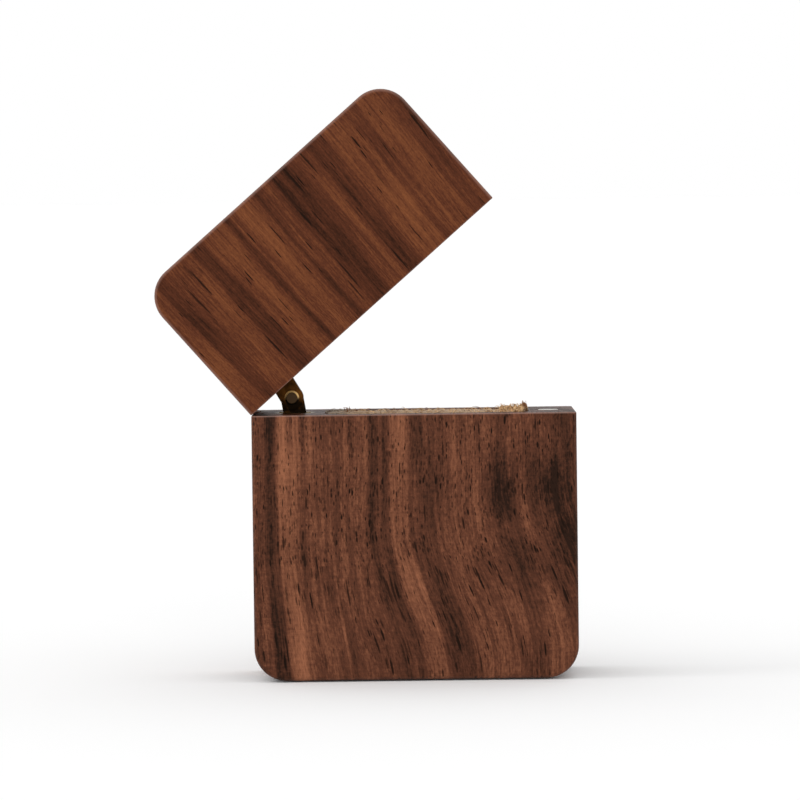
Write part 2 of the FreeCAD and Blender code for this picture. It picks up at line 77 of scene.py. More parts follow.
# Noise in the wood's tone: how far it reaches across, through and along the grain in mm, and its strength
BASE_LAYERS = (
    ((3.0, 6.0, 11.0), 0.14),
    ((0.9, 4.0, 30.0), 0.15),
    ((0.26, 0.6, 9.0), 0.12),
    ((1.4, 1.4, 0.25), 0.05),
    ((0.15, 0.15, 0.4), 0.09),
    ((0.32, 0.32, 0.8), 0.14),
)
LID_LAYERS = (
    ((3.0, 6.0, 11.0), 0.14),
    ((0.9, 4.0, 30.0), 0.17),
    ((0.24, 0.6, 9.0), 0.15),
    ((0.15, 0.15, 0.3), 0.10),
    ((0.2, 0.2, 0.9), 0.14),
)

# One board of walnut. Its own frame has x across the box in from the hinge end, z along the grain,
# where rim is the place of the edge at which the box parts. The rim and edge shares say how far that
# edge and the rounded outlines are pale from handling and from a painted highlight.
# bands are (place across in mm, tone) pairs, tone 0 the darkest. Below bend_height, which rises by
# bend_lean across the board, the grain drifts sideways by drift mm and fans out by spread, up to
# fan_limit, over a stretch of bend_reach. It wanders by sway mm. patches are soft dark clouds, each
# (middle, reach, depth of tone) in mm. Below long_below the board is cut nearly along its pores.
Board = namedtuple("Board", (
    "origin turn rim rim_wear edge_wear bands bend_height bend_lean bend_reach drift spread fan_limit "
    "sway patches layers pores long_below seed"))

# Pores have a pitch across the grain and a length of spacing along it in mm. widest is the radius of the
# widest as a share of the pitch, and they thin out towards the height thin_below. EVERYWHERE lies below
# every board.
Pores = namedtuple("Pores", "pitch length widest thin_below seed")
EVERYWHERE = -9.0

BASE_BOARD = Board(
    origin=Vector((BASE_LOW.x, BASE_LOW.y, 0)),
    turn=0.0,
    rim=BASE_HIGH.z / MM,
    rim_wear=0.4,
    edge_wear=0.06,
    bands=(
        (0.0, 0.42), (1.3, 0.40), (2.0, 0.10), (3.0, 0.16), (3.7, 0.66), (4.7, 0.76), (5.6, 0.64),
        (6.6, 0.47), (8.2, 0.50), (10.2, 0.44), (10.7, 0.28), (11.3, 0.44), (13.4, 0.47), (15.0, 0.47),
        (16.0, 0.29), (17.6, 0.31), (18.6, 0.62), (19.4, 0.68), (20.3, 0.55), (21.3, 0.33), (23.6, 0.33),
        (25.2, 0.45), (27.0, 0.51), (29.4, 0.50), (31.4, 0.50), (33.0, 0.38), (35.2, 0.51), (37.4, 0.37),
        (39.4, 0.41), (41.4, 0.24), (43.0, 0.27)),
    bend_height=18.5,
    bend_lean=0.22,
    bend_reach=25.0,
    drift=1.0,
    spread=0.17,
    fan_limit=27.0,
    sway=0.5,
    patches=(
        ((32.7, 0.5, 25.0), (2.2, 6.0, 6.4), 1.0), ((39.6, 0.5, 25.6), (3.3, 6.0, 5.6), 0.95),
        ((33.0, 0.5, 15.5), (3.4, 5.0, 6.0), 0.75), ((40.5, 0.5, 17.0), (3.0, 5.0, 7.0), 0.7)),
    layers=BASE_LAYERS,
    pores=(
        Pores(0.39, 1.45, 0.46, EVERYWHERE, 0.0), Pores(0.50, 3.4, 0.33, EVERYWHERE, 7.7),
        Pores(0.30, 0.95, 0.52, 7.0, 23.4)),
    long_below=15.0,
    seed=0.0,
)
LID_BOARD = Board(
    origin=LID_PIVOT + Vector((0, -BOX_DEPTH / 2, 0)),
    turn=-math.radians(LID_ANGLE),
    rim=0.03,
    rim_wear=0.12,
    edge_wear=0.3,
    bands=(
        (0.0, 0.50), (1.6, 0.52), (2.6, 0.28), (3.5, 0.26), (4.6, 0.50), (6.6, 0.60), (8.3, 0.50),
        (9.2, 0.20), (10.3, 0.24), (11.3, 0.52), (12.9, 0.60), (14.3, 0.44), (14.9, 0.24), (15.6, 0.44),
        (17.6, 0.60), (19.4, 0.50), (20.1, 0.26), (20.8, 0.48), (21.9, 0.50), (23.0, 0.26), (25.0, 0.22),
        (26.2, 0.44), (27.7, 0.57), (28.9, 0.44), (29.8, 0.22), (31.2, 0.28), (32.4, 0.58), (34.2, 0.70),
        (36.8, 0.42), (39.4, 0.62), (41.6, 0.48), (43.0, 0.42)),
    bend_height=24.0,
    bend_lean=0.0,
    bend_reach=26.0,
    drift=0.9,
    spread=-0.06,
    fan_limit=43.0,
    sway=0.35,
    patches=(),
    layers=LID_LAYERS,
    pores=(Pores(0.45, 2.0, 0.33, EVERYWHERE, 61.0), Pores(0.62, 5.0, 0.3, EVERYWHERE, 68.7)),
    long_below=30.0,
    seed=61.0,
)

# Both boards: how far the growth rings lean per mm of depth, the reach of their wandering and of the
# streaks in a stain in mm, the tone that a full stain takes away, how often pores come where the cut runs
# along them, the stretch over which they thin out and their depth in mm, their roughness, and how dark
# and how dull the oil leaves end grain
RING_SLANT = 0.34
SWAY_REACH = (9.0, 9.0, 26.0)
STAIN_STREAKS = (1.3, 2.0, 2.6)
STAIN_DEPTH = 0.42
LONG_SHARE = 0.45
PORE_THINNING = 7.0
PORE_DEPTH = 0.02
PORE_ROUGHNESS = 0.75
END_DARKER = 0.2
END_DULLER = 0.08

# Radii in mm between which the rivet's flat turns into its bevel
RIVET_FLAT = (0.72, 0.78)

# How a cushion half is divided: round its corners, along its sides, across its ends, up its wall and the
# collar above, over its crown and its ridge, with the part of a step that is left in the ridge's middle
CORNER_STEPS = 3
SIDE_STEPS = 60
END_STEPS = 10
WALL_SHARES = (0.0, 0.4, 0.7, 0.84)
COLLAR_STEPS = 7
CROWN_STEPS = 8
RIDGE_STEPS = 2
RIDGE_REST = 0.4

# Its form: the crown's height and the corners' radius in mm, how far its ends are drawn in and domed as a
# share of its sides, and how much of its rounding a corner loses over the crown and keeps on the ridge
PAD_CROWN = 1.3
PAD_CORNER = 2.85
END_DRAW_SHARE = 0.3
END_CROWN_SHARE = 0.4
CROWN_LOSS = 0.55
RIDGE_KEPT = 0.4
PadForm = namedtuple("PadForm", "length width height crown ridge draw wall_corner slit_corner")

# Cloth settling of the covers: how much larger it is worked out, for how long, the pressure inside and
# the limit in mm
SETTLE_SCALE = 20.0
SETTLE_FRAMES = 14
SETTLE_PRESSURE = 4.0
SETTLE_LIMIT = 0.2

# Weave: how many yarns are drawn each way, their mean half breadth as a share of the pitch, and the height
# that stays at the cover's own surface
WEAVE_YARNS = 256
YARN_BREADTH = 0.44
WEAVE_MIDDLE = 0.6

# Frayed yarn ends of the tuft: from and to along the box, how many, how far they rise and their radius, in
# mm, then the tuft's bed across the box and how far a yarn reaches
TUFT_YARNS = (
    (11.2, 13.7, 20, (0.3, 0.6), 0.2),
    (12.8, 14.1, 5, (0.55, 0.75), 0.2),
    (14.2, 14.6, 10, (0.8, 1.05), 0.2),
)
TUFT_BED = (-5.4, -1.6)
TUFT_REACH = (0.6, 0.85)

# Beds of single hairs: along and across the box, how many, how far they rise and reach, in mm
HAIR_BEDS = (
    (11.2, 14.4, -5.4, -1.5, 60, (0.5, 1.0), (0.3, 0.9)),
    (14.3, 14.8, -5.0, -2.0, 12, (0.9, 1.4), (0.2, 0.5)),
    (-11.6, 12.0, -5.6, -1.4, 170, (0.05, 0.45), (0.4, 1.6)),
    (-11.6, 14.0, 1.4, 5.6, 40, (0.05, 0.35), (0.4, 1.6)),
    (-11.6, -8.2, -5.7, 5.6, 60, (0.06, 0.2), (0.4, 1.5)),
    (-9.3, -8.5, -4.6, -3.6, 9, (0.6, 0.9), (0.2, 0.5)),
)

# Places among the fibres with a tint of their own: middle and reach in mm, and the setting with the tint
# Tints by place: greyer fibres beside the hinge, brown ones in the tuft's last loops and one stray
TINTED_SPOTS = (
    ((-11.3, -0.5, 35.2), (4.0, 12.0, 3.0), "grey_fibre"),
    ((14.85, -3.5, 36.15), (0.75, 3.0, 0.6), "brown_fibre"),
    ((-8.9, -4.1, 35.8), (0.7, 1.0, 0.7), "brown_fibre"),
)
FIBRE_RADIUS = 0.045
YARN_FIBRES = 13
YARN_STEPS = 7
FIBRE_STEPS = 6


def linear(hex_colour):
    """Linear RGBA of an sRGB hex colour."""
    channels = []
    for start in (1, 3, 5):
        value = int(hex_colour[start:start + 2], 16) / 255
        channels.append(value / 12.92 if value <= 0.04045 else ((value + 0.055) / 1.055) ** 2.4)
    return (*channels, 1.0)


def colour_property(name, description, hex_colour):
    """A colour that a user may change, shown as a swatch."""
    return FloatVectorProperty(
        name=name, description=description, subtype="COLOR", size=4, min=0, max=1, default=linear(hex_colour))


def length_property(name, description, millimetres):
    """A length that a user may change, in scene units."""
    return FloatProperty(
        name=name, description=description, subtype="DISTANCE", unit="LENGTH", precision=5, min=0,
        default=millimetres * MM)


def share_property(name, description, share):
    """A share between 0 and 1 that a user may change."""
    return FloatProperty(
        name=name, description=description, subtype="FACTOR", min=0, max=1, default=share)


class WalnutSettings(bpy.types.PropertyGroup):
    """Colours and gloss of the two walnut blocks."""

    base_dark: colour_property("Base dark", "Darkest streaks of the lower block", "#2A1911")
    base_middle: colour_property("Base middle", "Mean colour of the lower block", "#5F3828")
    base_light: colour_property("Base light", "Palest stripes of the lower block", "#9A6246")
    lid_dark: colour_property("Lid dark", "Darkest streaks of the lid", "#2E170C")
    lid_middle: colour_property("Lid middle", "Mean colour of the lid", "#592F1D")
    lid_light: colour_property("Lid light", "Palest stripes of the lid", "#834D2D")
    pore: colour_property("Pore", "Colour inside the open pores", "#1D120C")
    roughness: share_property("Roughness", "Gloss of the oiled, fine sanded surface", 0.32)
    specular: share_property("Specular", "Share of the sheen of a smooth lacquer", 0.035)
    # The pale edge colour is partly handling and partly a painted highlight on the rounded arrises
    worn_and_highlit: colour_property("Pale edge and highlight", "Pale arrises from handling, with a painted highlight", "#B8968A")


class HingeSettings(bpy.types.PropertyGroup):
    """Colours of the brass hinge and the nickel magnets."""

    barrel: colour_property("Barrel", "Turned brass of the barrels", "#8E7645")
    # Also painted as shade at the leaves' foot and below the rivet
    leaf_dark: colour_property("Leaf dark", "Patina on the leaves, also painted shade at their foot and below the rivet", "#150E07")
    leaf_light: colour_property("Leaf light", "Worn brass of the leaves", "#5A3614")
    rivet_head: colour_property("Rivet head", "Dulled flat of the rivet", "#402C15")
    # Painted as a highlight on the upper side of the rivet's bevel
    rivet: colour_property("Rivet", "Painted highlight on the rivet's bevel", "#F2C680")
    nickel: colour_property("Nickel", "Plating of the magnets", "#BDB8AE")


class CushionSettings(bpy.types.PropertyGroup):
    """Sizes and colours of the hessian cushion."""

    yarn_pitch: length_property("Yarn pitch", "Spacing of the jute yarns", 0.78)
    yarn_relief: length_property("Yarn relief", "Half the thickness of a yarn", 0.17)
    jute_light: colour_property("Jute light", "Palest yarns", "#C1A587")
    jute_dark: colour_property("Jute dark", "Darkest yarns", "#89694D")
    gap: colour_property("Gap", "Shade between the yarns", "#3A291B")
    foam: colour_property("Foam", "Foam inside the covers", "#D9CFB6")
    fibre: colour_property("Loose fibre", "Golden frayed fibres", "#EBC391")
    brown_fibre: colour_property("Retted fibre", "Brown loops of the tuft", "#8A5A36")
    grey_fibre: colour_property("Lint", "Greyer fibres beside the hinge", "#B0A392")
    fibre_share: share_property("Fibres", "Share of the loose hairs that is drawn", 1.0)


class StudioSettings(bpy.types.PropertyGroup):
    """Camera and light of the studio."""

    camera_place: FloatVectorProperty(
        name="Camera place", description="Where the camera stands", subtype="TRANSLATION", unit="LENGTH",
        default=(-0.0018, -0.655, 0.0654))
    camera_tilt: FloatProperty(
        name="Camera tilt", description="How far the camera looks down", subtype="ANGLE",
        default=math.radians(2.509))
    camera_roll: FloatProperty(
        name="Camera roll", description="How far the camera leans", subtype="ANGLE",
        default=math.radians(0.73))
    focal_length: FloatProperty(
        name="Focal length", description="Lens in millimetres on a 36 mm sensor", default=220.3, min=1)
    sky: FloatProperty(name="Sky", description="Even light from all round", default=1.02, min=0)
    right_side: share_property(
        "Right side", "Share of the sky's light that comes from the far right", 0.7)
    key: FloatProperty(name="Key lamp", description="Lamp high on the left", default=0.3, min=0)
    fill: FloatProperty(name="Fill lamp", description="Lamp above the camera", default=0.5, min=0)


class RingBoxSettings(bpy.types.PropertyGroup):
    """All settings of the ring box."""

    walnut: PointerProperty(type=WalnutSettings)
    hinge: PointerProperty(type=HingeSettings)
    cushion: PointerProperty(type=CushionSettings)
    studio: PointerProperty(type=StudioSettings)


def fill_inputs(tree, node, values):
    """Set or link inputs of a node, by their names or, from a tuple, in their order."""
    for key, value in values.items() if isinstance(values, dict) else enumerate(values):
        if isinstance(value, bpy.types.Node):
            value = value.outputs[0]
        if isinstance(value, bpy.types.NodeSocket):
            tree.links.new(value, node.inputs[key])
        else:
            node.inputs[key].default_value = value


def add_node(tree, kind, fill=(), stops=(), blend="LINEAR", **settings):
    """Add a shader node, set its properties and ramp stops, and fill its inputs.

    A MapRange takes a value, the range that it comes from and the range that it goes to, 0 to 1 if unsaid.
    """
    made = tree.nodes.new("ShaderNode" + kind)
    for name, value in settings.items():
        setattr(made, name, value)
    for number, (place, colour) in enumerate(stops):
        elements = made.color_ramp.elements
        if number == 0:
            elements.remove(elements[1])
        stop = elements[0] if number == 0 else elements.new(place)
        stop.position = place
        stop.color = colour
        made.color_ramp.interpolation = blend
    fill_inputs(tree, made, fill)
    return made


def new_material(name):
    """An empty material, its node tree, its principled shader and the place on the piece."""
    material = bpy.data.materials.new(name)
    material.use_nodes = True
    tree = material.node_tree
    return material, tree, tree.nodes["Principled BSDF"], add_node(tree, "TexCoord").outputs["Object"]


def grey(value):
    """Opaque grey for a ramp that carries plain numbers."""
    return (value, value, value, 1.0)


def dimmed(colour, share):
    """A share of a colour's light."""
    return (*(channel * share for channel in colour[:3]), 1.0)


def seen_directly(tree):
    """1 for what the eye, a mirror or a glass sees, 0 for what only sheds light."""
    rays = add_node(tree, "LightPath").outputs
    seen = add_node(tree, "Math", (rays["Is Camera Ray"], rays["Is Glossy Ray"]), operation="MAXIMUM")
    return add_node(tree, "Math", (seen, rays["Is Transmission Ray"]), operation="MAXIMUM")


def bent_grain(tree, coordinates, board):
    """Places in a board in mm: across its growth rings, which drift and fan out below, through and along."""
    place = add_node(
        tree, "Mapping",
        {"Vector": coordinates, "Location": board.origin, "Rotation": (0, board.turn, 0),
         "Scale": (MM, MM, MM)},
        vector_type="TEXTURE")
    across, depth, along = add_node(tree, "SeparateXYZ", (place,)).outputs
    bend_start = add_node(
        tree, "Math", (across, board.bend_lean, board.bend_height), operation="MULTIPLY_ADD")
    below = add_node(tree, "Math", (bend_start, along), operation="SUBTRACT")
    bent = add_node(tree, "MapRange", (below, 0, board.bend_reach), interpolation_type="SMOOTHSTEP")
    fanned = add_node(tree, "Math", (across, board.fan_limit), operation="MINIMUM")
    aside = add_node(tree, "Math", (fanned, board.spread, board.drift), operation="MULTIPLY_ADD")
    moved = add_node(tree, "Math", (bent, aside), operation="MULTIPLY")
    slanted = add_node(tree, "Math", (depth, RING_SLANT, across), operation="MULTIPLY_ADD")
    straight = add_node(tree, "Math", (slanted, moved), operation="SUBTRACT")
    stretched = add_node(
        tree, "Mapping",
        {"Vector": place, "Location": (board.seed, 0, 0), "Scale": [1 / length for length in SWAY_REACH]})
    sway = add_node(tree, "TexNoise", {"Vector": stretched, "Scale": 1.0, "Detail": 3.0, "Roughness": 0.55})
    swayed = add_node(tree, "MapRange", (sway, 0.2, 0.8, -board.sway, board.sway))
    ring = add_node(tree, "Math", (straight, swayed), operation="ADD")
    return ring, depth, along


def smoky_patches(tree, grain, patches):
    """Soft dark clouds in the wood, where mineral stain has spread: 0 clear, 1 fully stained."""
    stretched = add_node(
        tree, "Mapping", {"Vector": grain, "Scale": [1 / length for length in STAIN_STREAKS]})
    streaks = add_node(
        tree, "TexNoise", {"Vector": stretched, "Scale": 1.0, "Detail": 6.0, "Roughness": 0.72})
    total = None
    for middle, reach, depth in patches:
        local = add_node(
            tree, "Mapping", {"Vector": grain, "Location": middle, "Scale": reach}, vector_type="TEXTURE")
        away = add_node(tree, "VectorMath", (local,), operation="LENGTH").outputs["Value"]
        ragged = add_node(tree, "Math", (streaks, 1.6, away), operation="MULTIPLY_ADD")
        cloud = add_node(
            tree, "MapRange", (ragged, 0.85, 2.15, depth, 0), interpolation_type="SMOOTHSTEP")
        total = cloud if total is None else add_node(tree, "Math", (total, cloud), operation="MAXIMUM")
    return total


def wood_tone(tree, grain, ring, board):
    """Tone of the wood and the noises in it: broad bands, clouds, growth lines, hairlines and fibres."""
    width = BOX_WIDTH / MM
    folded = add_node(tree, "Math", (ring, width), operation="PINGPONG")
    share = add_node(tree, "Math", (folded, width), operation="DIVIDE")
    tone = add_node(
        tree, "ValToRGB", (share,), blend="EASE",
        stops=[(spot / width, grey(value)) for spot, value in board.bands])
    noises = []
    for reach, strength in board.layers:
        stretched = add_node(
            tree, "Mapping",
            {"Vector": grain, "Location": (board.seed, 0, 0), "Scale": [1 / length for length in reach]})
        noise = add_node(
            tree, "TexNoise", {"Vector": stretched, "Scale": 1.0, "Detail": 3.0, "Roughness": 0.6})
        part = add_node(tree, "MapRange", (noise, 0.3, 0.7, -strength, strength))
        tone = add_node(tree, "Math", (tone, part), operation="ADD")
        noises.append(noise)
    if board.patches:
        cloud = smoky_patches(tree, grain, board.patches)
        tone = add_node(tree, "Math", (cloud, -STAIN_DEPTH, tone), operation="MULTIPLY_ADD")
    return tone, noises


def pore_layer(tree, grain, pores, tone, crowd):
    """Open pores as slim cells along the grain, wider in dark and crowded wood: 0 wood, 1 pore."""
    stretched = add_node(
        tree, "Mapping",
        {"Vector": grain, "Location": (pores.seed, pores.seed, pores.seed),
         "Scale": (1 / pores.pitch, 1 / pores.pitch, 1 / pores.length)})
    cells = add_node(tree, "TexVoronoi", {"Vector": stretched, "Scale": 1.0})
    width_chance, depth_chance, _ = add_node(tree, "SeparateColor", (cells.outputs["Color"],)).outputs
    radius = add_node(tree, "MapRange", (width_chance, 0.15, 1, 0.02, pores.widest))
    darker = add_node(tree, "MapRange", (tone, 0.2, 0.7, 1.15, 0.85))
    along = add_node(tree, "SeparateXYZ", (grain,)).outputs["Z"]
    thinned = add_node(
        tree, "MapRange", (along, pores.thin_below, pores.thin_below + PORE_THINNING, 0.05, 1))
    for factor in (darker, crowd, thinned):
        radius = add_node(tree, "Math", (radius, factor), operation="MULTIPLY")
    share = add_node(tree, "Math", (cells.outputs["Distance"], radius), operation="DIVIDE")
    shape = add_node(tree, "MapRange", (share, 0.55, 1.0, 1, 0), interpolation_type="SMOOTHSTEP")
    filled = add_node(tree, "MapRange", (depth_chance, 0, 1, 0.4, 1.0))
    return add_node(tree, "Math", (shape, filled), operation="MULTIPLY")


def worn_and_highlit_edges(tree, depth, along, board):
    """Share of pale wood along the outlines, most where the box parts: handling and a painted highlight on
    the rounded arrises.
    """
    # Pale edges: partly handling, partly a painted highlight that follows only how the rounded outlines slant
    normal = add_node(tree, "SeparateXYZ", (add_node(tree, "TexCoord").outputs["Normal"],))
    facing = add_node(tree, "Math", (normal.outputs["Y"],), operation="ABSOLUTE")
    leaning = add_node(
        tree, "ValToRGB", (facing,),
        stops=((0.2, grey(0.7)), (0.6, grey(1.0)), (0.9, grey(0.45)), (0.985, grey(0.0))))
    half = BOX_DEPTH / MM / 2
    off_middle = add_node(tree, "Math", (depth, half), operation="SUBTRACT")
    outward = add_node(tree, "Math", (off_middle,), operation="ABSOLUTE")
    outer = add_node(tree, "MapRange", (outward, half - 0.7, half - 0.4))
    outline = add_node(tree, "Math", (leaning, outer), operation="MULTIPLY")
    outline = add_node(tree, "Math", (outline, board.edge_wear), operation="MULTIPLY")
    over_rim = add_node(tree, "Math", (along, board.rim), operation="SUBTRACT")
    off_rim = add_node(tree, "Math", (over_rim,), operation="ABSOLUTE")
    parting = add_node(tree, "MapRange", (off_rim, 0.06, 0.2, board.rim_wear, 0))
    parting = add_node(tree, "Math", (parting, outer), operation="MULTIPLY")
    return add_node(tree, "Math", (outline, parting), operation="MAXIMUM")


def end_grain(tree, board):
    """Wood cut across the grain, which drinks more oil: 0 along the grain, 1 square across it."""
    turned = add_node(
        tree, "Mapping",
        {"Vector": add_node(tree, "TexCoord").outputs["Normal"], "Rotation": (0, board.turn, 0)},
        vector_type="TEXTURE")
    upward = add_node(tree, "SeparateXYZ", (turned,)).outputs["Z"]
    cut = add_node(tree, "Math", (upward,), operation="ABSOLUTE")
    return add_node(tree, "MapRange", (cut, 0.75, 0.98), interpolation_type="SMOOTHSTEP")


def walnut(name, board, dark, middle, light, settings):
    """Black walnut, planed, fine sanded and oiled.

    The eye sees brown bands along the grain, smoky stain, short dark pore dashes that turn to
    dots on end grain, pale arrises from handling with a painted highlight, and a satin sheen. The
    pattern is solid, so it runs on round the edges.
    """
    material, tree, surface, coordinates = new_material(name)
    ring, depth, along = bent_grain(tree, coordinates, board)
    grain = add_node(tree, "CombineXYZ", (ring, depth, along))
    tone, noises = wood_tone(tree, grain, ring, board)
    wood = add_node(tree, "ValToRGB", (tone,), stops=((0.0, dark), (0.46, middle), (0.95, light)))

    # Pores: dashes along the grain, dots across it
    crowd = add_node(tree, "MapRange", (noises[0], 0.35, 0.65, 1.2, 0.7))
    under = add_node(tree, "Math", (board.long_below, along), operation="SUBTRACT")
    under = add_node(tree, "Math", (under, 0.0), operation="MAXIMUM")
    stretched = add_node(tree, "Math", (under, 1 - LONG_SHARE, along), operation="MULTIPLY_ADD")
    pore_grain = add_node(tree, "CombineXYZ", (ring, depth, stretched))
    pore = None
    for pores in board.pores:
        layer = pore_layer(tree, pore_grain, pores, tone, crowd)
        pore = layer if pore is None else add_node(tree, "Math", (pore, layer), operation="MAXIMUM")

    # Colour: the wood, with its pores, soaked end grain and pale edges from handling and a painted highlight
    # laid over it
    ends = end_grain(tree, board)
    soaked = add_node(tree, "Math", (ends, END_DARKER), operation="MULTIPLY")
    worn_and_highlit = worn_and_highlit_edges(tree, depth, along, board)
    colour = wood
    for share, shade in ((pore, settings.pore), (soaked, settings.pore), (worn_and_highlit, settings.worn_and_highlit)):
        colour = add_node(
            tree, "Mix", {"Factor": share, "A": colour, "B": shade}, data_type="RGBA").outputs["Result"]

    rough = add_node(tree, "MapRange", (pore, 0, 1, settings.roughness, PORE_ROUGHNESS))
    rough = add_node(tree, "Math", (ends, END_DULLER, rough), operation="MULTIPLY_ADD")
    relief = add_node(tree, "Math", (pore, -1.0, noises[-1]), operation="MULTIPLY_ADD")
    bump = add_node(tree, "Bump", {"Height": relief, "Distance": PORE_DEPTH * MM, "Strength": 0.5})
    fill_inputs(tree, surface, {
        "Base Color": colour, "Roughness": rough, "Normal": bump, "IOR": 1.5,
        "Specular IOR Level": settings.specular})
    return material


def turned_brass(name, colour):
    """Free-cutting brass, turned on a lathe and handled: a warm satin metal with darker, duller clouds."""
    material, tree, surface, coordinates = new_material(name)
    clouds = add_node(tree, "TexNoise", {"Vector": coordinates, "Scale": 1 / (1.1 * MM), "Detail": 4.0})
    shade = add_node(tree, "ValToRGB", (clouds,), stops=((0.3, dimmed(colour, 0.45)), (0.65, colour)))
    rough = add_node(tree, "MapRange", (clouds, 0.3, 0.7, 0.5, 0.3))
    fill_inputs(tree, surface, {"Base Color": shade, "Roughness": rough, "Metallic": 1.0})
    return material


def about_rivet(tree, coordinates):
    """Place on a piece in mm from the middle of the hinge's rivet."""
    return add_node(
        tree, "Mapping", {"Vector": coordinates, "Location": RIVET_PLACE, "Scale": (MM, MM, MM)},
        vector_type="TEXTURE")


def patinated_brass(name, dark, light):
    """Stamped brass leaf, darkened by handling: brown patina with warmer clouds where it wears through, and
    painted shade that makes it blackest at the foot.
    """
    material, tree, surface, coordinates = new_material(name)
    place = about_rivet(tree, coordinates)
    clouds = add_node(
        tree, "TexNoise", {"Vector": place, "Scale": 1 / 1.4, "Detail": 5.0, "Roughness": 0.6})
    # Painted shade: the leaf grows blacker towards its foot by the rim, by height alone
    height = add_node(tree, "SeparateXYZ", (place,)).outputs["Z"]
    painted_foot_shade = add_node(tree, "MapRange", (height, -1.3, 0.3, -0.3, 0), interpolation_type="SMOOTHSTEP")
    clouds_and_foot_shade = add_node(tree, "Math", (clouds, painted_foot_shade), operation="ADD")
    shade = add_node(tree, "ValToRGB", (clouds_and_foot_shade,), stops=((0.2, dark), (0.66, light)))
    rough = add_node(tree, "MapRange", (clouds, 0.3, 0.7, 0.55, 0.36))
    fill_inputs(tree, surface, {"Base Color": shade, "Roughness": rough, "Metallic": 1.0})
    return material


def rivet_brass(name, head, dark, bright):
    """Brass rivet: a dull head in a bevel with a painted highlight above and painted shade below."""
    material, tree, surface, coordinates = new_material(name)
    place = about_rivet(tree, coordinates)
    flat = add_node(tree, "VectorMath", (place, (1, 0, 1)), operation="MULTIPLY")
    away = add_node(tree, "VectorMath", (flat,), operation="LENGTH").outputs["Value"]
    height = add_node(tree, "SeparateXYZ", (place,)).outputs["Z"]
    # Painted highlight on the upper side of the bevel and painted shade below it, by height about the rivet
    painted_light_share = add_node(tree, "MapRange", (height, -0.3, 0.35), interpolation_type="SMOOTHSTEP")
    bevel = add_node(tree, "Mix", {"Factor": painted_light_share, "A": dark, "B": bright}, data_type="RGBA")
    on_bevel = add_node(tree, "MapRange", (away, *RIVET_FLAT))
    shade = add_node(
        tree, "Mix", {"Factor": on_bevel, "A": head, "B": bevel.outputs["Result"]}, data_type="RGBA")
    # Half metal, so that the painted bright colour of the bevel shows in the lamps' light
    fill_inputs(tree, surface, {
        "Base Color": shade.outputs["Result"], "Metallic": 0.5, "Roughness": 0.4, "Specular IOR Level": 0.2})
    return material


def nickel_plate(name, colour):
    """Bright nickel plating on a pressed magnet: a cool grey mirror with faint haze."""
    material, tree, surface, coordinates = new_material(name)
    haze = add_node(tree, "TexNoise", {"Vector": coordinates, "Scale": 1 / (0.5 * MM), "Detail": 3.0})
    rough = add_node(tree, "MapRange", (haze, 0.3, 0.7, 0.2, 0.36))
    fill_inputs(tree, surface, {"Base Color": colour, "Roughness": rough, "Metallic": 1.0})
    return material


def cushion_foam(name, colour):
    """Open-cell polyurethane foam: matt, cream, pitted with cells, with painted shade in the pits."""
    material, tree, surface, coordinates = new_material(name)
    cells = add_node(tree, "TexVoronoi", {"Vector": coordinates, "Scale": 1 / (0.5 * MM)}).outputs["Distance"]
    # Painted shade: the colour dims towards the bottom of each cell's pit
    shade = add_node(tree, "ValToRGB", (cells,), stops=((0.1, dimmed(colour, 0.6)), (0.5, colour)))
    bump = add_node(tree, "Bump", {"Height": cells, "Distance": 0.1 * MM, "Strength": 0.6})
    fill_inputs(tree, surface, {"Base Color": shade, "Normal": bump, "Roughness": 0.95})
    return material


def jute_hessian(name, settings):
    """Hessian, a coarse plain weave of jute: straw-brown twisted yarns, no two alike, with shaded gaps."""
    material, tree, surface, coordinates = new_material(name)
    tint = add_node(tree, "Attribute", attribute_name="yarn_tint").outputs["Fac"]
    height = add_node(tree, "Attribute", attribute_name="yarn_height").outputs["Fac"]
    hairs = add_node(
        tree, "TexNoise", {"Vector": coordinates, "Scale": 1 / (0.16 * MM), "Detail": 3.0, "Roughness": 0.7})
    mixed = add_node(tree, "Math", (hairs, 0.7, tint), operation="MULTIPLY_ADD")
    yarn = add_node(
        tree, "ValToRGB", (mixed,), stops=((0.3, settings.jute_dark), (1.0, settings.jute_light)))
    lifted = add_node(tree, "MapRange", (height, 0.08, 0.76), interpolation_type="SMOOTHSTEP")
    colour = add_node(tree, "Mix", {"Factor": lifted, "A": settings.gap, "B": yarn}, data_type="RGBA")
    bump = add_node(tree, "Bump", {"Height": hairs, "Distance": 0.04 * MM, "Strength": 0.7})
    fill_inputs(tree, surface, {
        "Base Color": colour.outputs["Result"], "Normal": bump, "Roughness": 0.9, "Sheen Weight": 0.15})
    return material


def jute_fibre(name, settings):
    """Loose jute fibres: dry and golden, greyer by the hinge, brown in the tuft's last loops and one stray.
    """
    material, tree, surface, coordinates = new_material(name)
    clouds = add_node(tree, "TexNoise", {"Vector": coordinates, "Scale": 1 / (0.9 * MM), "Detail": 3.0})
    shade = add_node(
        tree, "ValToRGB", (clouds,), stops=((0.32, settings.jute_dark), (0.55, settings.fibre)))
    for middle, reach, tint in TINTED_SPOTS:
        local = add_node(
            tree, "Mapping",
            {"Vector": coordinates, "Location": [step * MM for step in middle],
             "Scale": [step * MM for step in reach]},
            vector_type="TEXTURE")
        away = add_node(tree, "VectorMath", (local,), operation="LENGTH").outputs["Value"]
        ragged = add_node(tree, "Math", (clouds, 0.6, away), operation="MULTIPLY_ADD")
        tinted = add_node(tree, "MapRange", (ragged, 0.9, 1.4, 1, 0))
        shade = add_node(
            tree, "Mix", {"Factor": tinted, "A": shade, "B": getattr(settings, tint)},
            data_type="RGBA").outputs["Result"]
    fill_inputs(tree, surface, {"Base Color": shade, "Roughness": 0.85})
    return material


